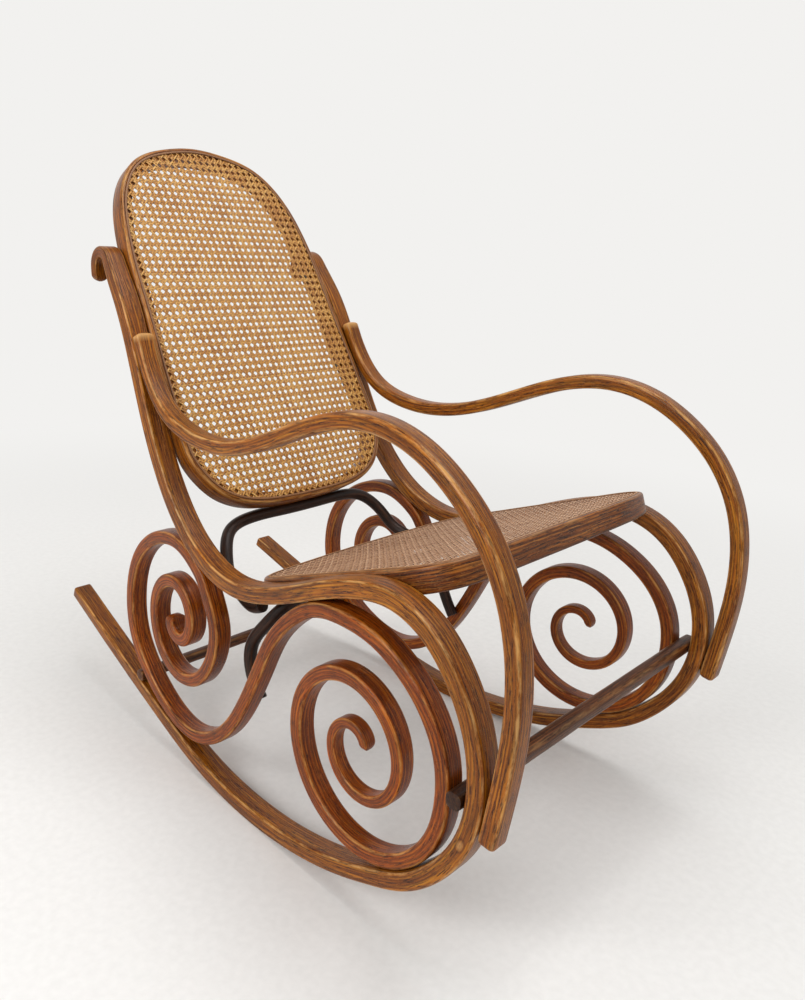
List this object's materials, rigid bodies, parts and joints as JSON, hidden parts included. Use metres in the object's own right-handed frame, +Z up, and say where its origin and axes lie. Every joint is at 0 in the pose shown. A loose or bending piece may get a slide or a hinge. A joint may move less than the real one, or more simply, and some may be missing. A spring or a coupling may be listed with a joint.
{
  "type": "bentwood rocking chair",
  "caption": "Bentwood rocking chair with scrolled sides, sweeping arms, a slanted cane seat and a tall cane back on curved runners.",
  "frame": {"origin": "on the floor, under the middle of the chair's overall depth and width", "axes": "+X to the front of the chair, +Y to the sitter's left, +Z up"},
  "size_m": [1.0398, 0.6052, 0.9656],
  "materials": {
    "bent_wood": "medium brown stained and polished beech, satin",
    "seat_wood": "reddish brown stained and polished beech, satin",
    "dark_wood": "very dark brown stained beech, satin",
    "seat_cane": "aged woven cane, pinkish tan, satin",
    "back_cane": "woven cane, golden tan, satin",
    "cane_spline": "round reed spline, tan, satin",
    "steel": "dull dark steel"
  },
  "bodies": {
    "root": {"side_frame_right": "bent_wood", "side_frame_left": "bent_wood", "scroll_right": "bent_wood", "scroll_left": "bent_wood", "arm_right": "bent_wood", "arm_left": "bent_wood", "seat_frame": "seat_wood", "seat_spline": "cane_spline", "seat_cane": "seat_cane", "back_frame": "bent_wood", "back_spline": "cane_spline", "back_cane": "back_cane", "front_rod": "dark_wood", "rear_rod": "dark_wood", "rear_hoop": "dark_wood", "under_brace": "dark_wood", "back_upper_bolt_right": "steel", "back_lower_bolt_right": "steel", "seat_rear_bolt_right": "steel", "seat_front_bolt_right": "steel", "arm_top_screw_right": "steel", "arm_foot_screw_right": "steel", "scroll_post_screw_right": "steel", "scroll_foot_screw_right": "steel", "scroll_rail_screw_right": "steel", "scroll_heel_screw_right": "steel", "back_upper_bolt_left": "steel", "back_lower_bolt_left": "steel", "seat_rear_bolt_left": "steel", "seat_front_bolt_left": "steel", "arm_top_screw_left": "steel", "arm_foot_screw_left": "steel", "scroll_post_screw_left": "steel", "scroll_foot_screw_left": "steel", "scroll_rail_screw_left": "steel", "scroll_heel_screw_left": "steel"}
  },
  "joints": []
}
